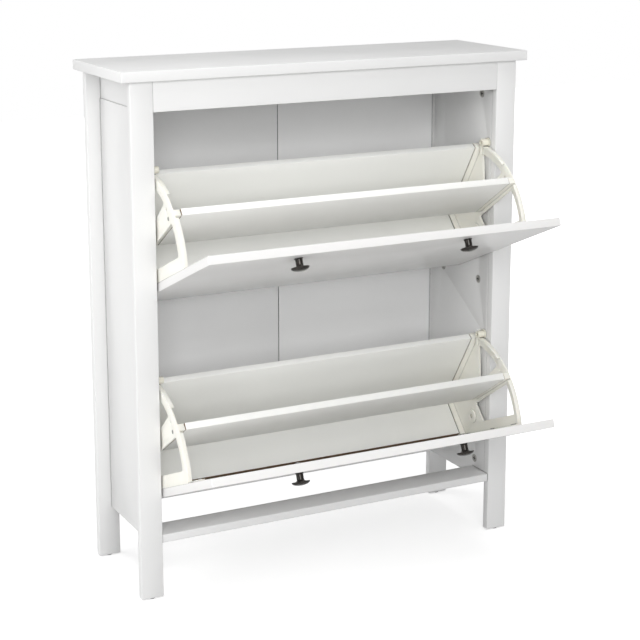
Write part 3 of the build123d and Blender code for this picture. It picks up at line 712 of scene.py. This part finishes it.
# %% Cams
CAM_EASE = 0.25 * mm
CROSS_SHARE = 0.34
CROSS_FROM = 0.1 * mm
CROSS_TO = 4.0 * mm
cams = copied_node("cam_locks_set", "cam_locks", CAM_EASE)
edit_all(cams)
bpy.ops.mesh.separate(type="LOOSE")
leave_edit()
singles = list(bpy.context.selected_objects)


def in_cross(face, middle, front, width):
    """Whether a face lies in the driver's cross: below the cam's front face and close to its axis."""
    depth = abs(face.center.x) - front
    off_axis = Vector((0.0, face.center.y - middle.y, face.center.z - middle.z)).length
    return CROSS_FROM < depth < CROSS_TO and off_axis < CROSS_SHARE * width


crossed = []
for single in singles:
    dress(single, cam_zinc)
    corners = [v.co for v in single.data.vertices]
    middle = sum(corners, Vector()) / len(corners)
    front = min(abs(c.x) for c in corners)
    width = max(c.z for c in corners) - min(c.z for c in corners)
    # The faces in the cross get the painted shade.
    cross_shade_faces = paint_faces(single, cam_cross_painted_shade, lambda face: in_cross(face, middle, front, width))
    crossed.append(cross_shade_faces)
clear_selection()
for single in singles:
    single.select_set(True)
bpy.context.view_layer.objects.active = cams
bpy.ops.object.join()
take_place(cams, "cam_locks")
print(len(singles), "cams, with these numbers of faces in their crosses:", sorted(set(crossed)))

# %% [markdown]
# ## The knobs' outline
# A knob is turned on a lathe, so half of its outline says everything about it. It starts at the
# door with a low foot ring, runs up a slightly waisted stem, and opens into a mushroom head with a
# thin brim and a domed crown. The points are shares of the stem's and the head's radius, so one
# outline fits any size.

# %% Knob profile
FOOT_RING = 1.0 * mm
FOOT_STEP = 1.6 * mm
STEM_START = 2.2 * mm
NECK_DROP = 0.6 * mm
BRIM_UNDER = 0.5 * mm
BRIM_LIFT = 0.4 * mm
BRIM_RADIUS = 0.7 * mm
FOOT_SHARES = (1.10, 0.98)
STEM_SHARES = (0.95, 0.03)
NECK_SHARE = 1.12
UNDERSIDE_SHARES = (0.62, 0.86)
STEM_POINTS, BRIM_POINTS, CROWN_POINTS = 7, 5, 10
BRIM_START, BRIM_SWEEP = -90, 150


def knob_profile(stem, head, reach, dome):
    """The knob's half section as (radius, reach) points: foot ring, stem, thin brim and domed crown."""
    under = reach - dome
    foot = stem * FOOT_SHARES[0]
    points = [(0.0, 0.0), (foot, 0.0), (foot, FOOT_RING), (stem * FOOT_SHARES[1], FOOT_STEP)]
    for i in range(STEM_POINTS):
        t = i / (STEM_POINTS - 1)
        radius = stem * (STEM_SHARES[0] - STEM_SHARES[1] * sin(pi * t))
        points.append((radius, STEM_START + t * (under - STEM_START - 3 * NECK_DROP)))
    points.append((stem * NECK_SHARE, under - NECK_DROP))
    points.append((head * UNDERSIDE_SHARES[0], under + NECK_DROP))
    points.append((head * UNDERSIDE_SHARES[1], under + BRIM_UNDER))
    for i in range(BRIM_POINTS):
        t = radians(BRIM_START + BRIM_SWEEP * i / (BRIM_POINTS - 1))
        height = under + BRIM_LIFT + BRIM_RADIUS + BRIM_RADIUS * sin(t)
        points.append((head - BRIM_RADIUS + BRIM_RADIUS * cos(t), height))
    rim_radius, rim_height = points[-1]
    for i in range(1, CROWN_POINTS):
        t = i / CROWN_POINTS * pi / 2
        points.append((rim_radius * cos(t), rim_height + (reach - rim_height) * sin(t)))
    points.append((0.0, reach))
    return points


print("the crown is drawn with", CROWN_POINTS, "steps, the brim with", BRIM_POINTS, "points")

# %% [markdown]
# ## Turning the knobs
# Spin sweeps the outline round the axis, just as the lathe does. A screw modifier would do the
# same, but the operator leaves a plain mesh at once. The outline starts and ends on the axis, where
# the sweep leaves a heap of points at each pole: merging them closes the solid. A knob is made at
# its closed door and swung open.

# %% Knobs
SPIN_STEPS = 64
STEM_SHARE = 0.425
DOME_SHARE = 0.34


def turned_knob(name, profile):
    """A solid of revolution about -Y from (radius, reach) points."""
    clear_selection()
    mesh = bpy.data.meshes.new(name)
    edges = [(i, i + 1) for i in range(len(profile) - 1)]
    mesh.from_pydata([(radius, -reach, 0.0) for radius, reach in profile], edges, [])
    knob = bpy.data.objects.new(name, mesh)
    bpy.context.scene.collection.objects.link(knob)
    edit_all(knob)
    bpy.ops.mesh.spin(steps=SPIN_STEPS, angle=2 * pi, center=(0, 0, 0), axis=(0, 1, 0))
    bpy.ops.mesh.select_all(action="SELECT")
    bpy.ops.mesh.remove_doubles(threshold=MERGE_WITHIN / 2)
    bpy.ops.mesh.normals_make_consistent(inside=False)
    leave_edit()
    smooth(knob, 50.0)
    return knob


for row in flap_rows:
    body = f"{row}_flap"
    for side in sides:
        node = f"{row}_knob_{side}"
        low, high = box_in(node, opening_turn(body))
        head = (high.x - low.x) / 2
        reach = high.y - low.y
        profile = knob_profile(head * STEM_SHARE, head, reach, reach * DOME_SHARE)
        knob = turned_knob(f"{node}_turning", profile)
        knob.location = ((low.x + high.x) / 2, high.y, (low.z + high.z) / 2)
        settle(knob)
        swing_open(knob, body)
        dress(knob, bronze)
        take_place(knob, node)
        print(node, "reaches", round(reach / mm, 1), "mm and is", round(2 * head / mm, 1), "mm across")

# %% [markdown]
# ## The small fixings
# Screws, bolts, nails, brackets, dowels and tape could all get rounded copies, but most lie inside
# the boards and none is large. They keep their construction shapes, and only their finishes are
# set.

# %% Fixings
fixing_finishes = {
    "cam_bolts": screw_zinc,
    "top_brackets": screw_zinc,
    "top_bracket_screws": screw_zinc,
    "stop_screws": screw_zinc,
    "back_panel_nails": screw_zinc,
    "rail_dowels": beech,
    "side_dowels": beech,
    "back_seam_tape": tape_film,
}
for row in flap_rows:
    for kind in ("knob_screws", "frame_screws", "board_screws"):
        fixing_finishes[f"{row}_{kind}"] = screw_zinc
for node, material in fixing_finishes.items():
    dress(frame["nodes"][node], material)
print(len(fixing_finishes), "groups of fixings dressed")

# %% [markdown]
# ## What sees the white background
# The background should be white, but more light on everything would also burn out the white
# cabinet. So floor and air glow only for the rays that look at them: those from the camera, those
# through clear things, and a small share of the glossy ones. Light Path tells them apart, and one
# helper serves both.

# %% How strongly a ray sees the background
GLOSS_SHARE = 0.10


def background_share(tree):
    """1 for camera and transmission rays, a small share for glossy rays, 0 for the rest."""
    rays = tree.nodes.new("ShaderNodeLightPath")
    direct = tree.nodes.new("ShaderNodeMath")
    direct.operation = "MAXIMUM"
    tree.links.new(rays.outputs["Is Camera Ray"], direct.inputs[0])
    tree.links.new(rays.outputs["Is Transmission Ray"], direct.inputs[1])
    share = tree.nodes.new("ShaderNodeMath")
    share.operation = "MULTIPLY_ADD"
    share.inputs[1].default_value = GLOSS_SHARE
    tree.links.new(rays.outputs["Is Glossy Ray"], share.inputs[0])
    tree.links.new(direct.outputs["Value"], share.inputs[2])
    return share.outputs["Value"]


print("gloss sees", GLOSS_SHARE, "of the white background")

# %% [markdown]
# ## The floor
# The cabinet stands on a seamless sheet of paper. It is a pale grey for the lamps, so that it can
# take a shadow, and a glow on top lifts it to white where nothing shades it. The glow grows with
# the distance from the cabinet, so that the sheet has no visible end.

# %% Floor
FLOOR_SIZE = 12.0
FLOOR_TONE = (0.66, 0.66, 0.66, 1.0)
GLOW_NEAR = (0.6, 0.56)
GLOW_FAR = (2.6, 1.2)
clear_selection()
bpy.ops.mesh.primitive_plane_add(size=FLOOR_SIZE, location=(0.0, 0.0, 0.0))
floor = bpy.context.object
floor.name = "studio_floor"
floor_finish = bpy.data.materials.new("pale_floor")
floor_finish.use_nodes = True
tree = floor_finish.node_tree
paper = tree.nodes["Principled BSDF"]
paper.inputs["Base Color"].default_value = FLOOR_TONE
paper.inputs["Roughness"].default_value = 0.9
place = tree.nodes.new("ShaderNodeTexCoord")
away = tree.nodes.new("ShaderNodeVectorMath")
away.operation = "LENGTH"
tree.links.new(place.outputs["Object"], away.inputs[0])
fade = tree.nodes.new("ShaderNodeMapRange")
fade.inputs["From Min"].default_value, fade.inputs["To Min"].default_value = GLOW_NEAR
fade.inputs["From Max"].default_value, fade.inputs["To Max"].default_value = GLOW_FAR
tree.links.new(away.outputs["Value"], fade.inputs["Value"])
strength = tree.nodes.new("ShaderNodeMath")
strength.operation = "MULTIPLY"
tree.links.new(background_share(tree), strength.inputs[0])
tree.links.new(fade.outputs["Result"], strength.inputs[1])
glow = tree.nodes.new("ShaderNodeEmission")
tree.links.new(strength.outputs["Value"], glow.inputs["Strength"])
both = tree.nodes.new("ShaderNodeAddShader")
tree.links.new(paper.outputs["BSDF"], both.inputs[0])
tree.links.new(glow.outputs["Emission"], both.inputs[1])
tree.links.new(both.outputs["Shader"], tree.nodes["Material Output"].inputs["Surface"])
dress(floor, floor_finish)
print("floor is", FLOOR_SIZE, "m across")

# %% [markdown]
# ## The air
# A white room throws a weak, even light from all sides. The world gives it, and shows itself as
# plain white to the rays that look straight at it. A backdrop could do that too, but it would have
# to be built round every side that the cabinet is looked at from.

# %% Air
AIR_LIGHT = 0.34
WHITE = 1.0
world = bpy.data.worlds.new("studio_air")
bpy.context.scene.world = world
world.use_nodes = True
tree = world.node_tree
ambient = tree.nodes["Background"]
ambient.inputs["Color"].default_value = (1.0, 1.0, 1.0, 1.0)
ambient.inputs["Strength"].default_value = AIR_LIGHT
seen = tree.nodes.new("ShaderNodeBackground")
seen.inputs["Color"].default_value = (1.0, 1.0, 1.0, 1.0)
seen.inputs["Strength"].default_value = WHITE
choice = tree.nodes.new("ShaderNodeMixShader")
tree.links.new(background_share(tree), choice.inputs["Fac"])
tree.links.new(ambient.outputs["Background"], choice.inputs[1])
tree.links.new(seen.outputs["Background"], choice.inputs[2])
tree.links.new(choice.outputs["Shader"], tree.nodes["World Output"].inputs["Surface"])
print("air lights at", AIR_LIGHT)

# %% [markdown]
# ## Lamps
# One large soft box stands in front, a little to the left and above the lid, as a window would.
# White boards need soft light from one main side, or their faces run together. Weaker lamps from
# the left, from above and from behind keep every side readable.

# %% Lamps
centre = (cad_box[0] + cad_box[1]) / 2


def soft_box(name, azimuth, elevation, distance, size, watts):
    """A square lamp that looks at the cabinet; azimuth 0 is in front, positive to the right."""
    turn, rise = radians(azimuth), radians(elevation)
    reach = Vector((sin(turn) * cos(rise), -cos(turn) * cos(rise), sin(rise))) * distance
    light = bpy.data.lights.new(name, "AREA")
    light.size = size
    light.energy = watts
    lamp = bpy.data.objects.new(name, light)
    lamp.location = centre + reach
    lamp.rotation_euler = (-reach).to_track_quat("-Z", "Y").to_euler()
    bpy.context.scene.collection.objects.link(lamp)
    print(name, "stands at", [round(v, 2) for v in lamp.location])


soft_box("key_light", azimuth=-19.0, elevation=22.0, distance=4.8, size=2.6, watts=121.0)
soft_box("left_light", azimuth=-85.0, elevation=15.0, distance=6.0, size=3.0, watts=118.0)
soft_box("top_light", azimuth=0.0, elevation=80.0, distance=6.0, size=4.0, watts=140.0)
soft_box("rear_light", azimuth=-130.0, elevation=35.0, distance=6.0, size=3.0, watts=90.0)

# %% [markdown]
# ## The camera
# The lens stands above the lid, to the left of the front, and looks a little down. A small shift
# lowers the picture without tilting the lens further, so that the cabinet's uprights stay close to
# upright. The three axes are worked out from yaw, pitch and roll, because that keeps each of them
# easy to change alone.

# %% Camera
EYE = Vector((-1.3337, -2.5439, 1.2353))
YAW = 0.4644
PITCH = -0.2142
ROLL = -0.0026
FOCAL_LENGTH = 91.86
SHIFT = (0.0277, -0.12)
ahead = Vector((sin(YAW) * cos(PITCH), cos(YAW) * cos(PITCH), sin(PITCH)))
level = Vector((cos(YAW), -sin(YAW), 0.0))
above = level.cross(ahead)
right = level * cos(ROLL) + above * sin(ROLL)
up = above * cos(ROLL) - level * sin(ROLL)
lens = bpy.data.cameras.new("view_camera")
lens.sensor_width = 36.0
lens.lens = FOCAL_LENGTH
lens.shift_x, lens.shift_y = SHIFT
lens.clip_end = 50.0
camera = bpy.data.objects.new("view_camera", lens)
bpy.context.scene.collection.objects.link(camera)
axes = Matrix((right, up, -ahead)).transposed().to_4x4()
camera.matrix_world = Matrix.Translation(EYE) @ axes
bpy.context.scene.camera = camera
bpy.context.scene.view_settings.view_transform = "Standard"
print("camera at", [round(v, 2) for v in EYE], "with a", FOCAL_LENGTH, "mm lens")
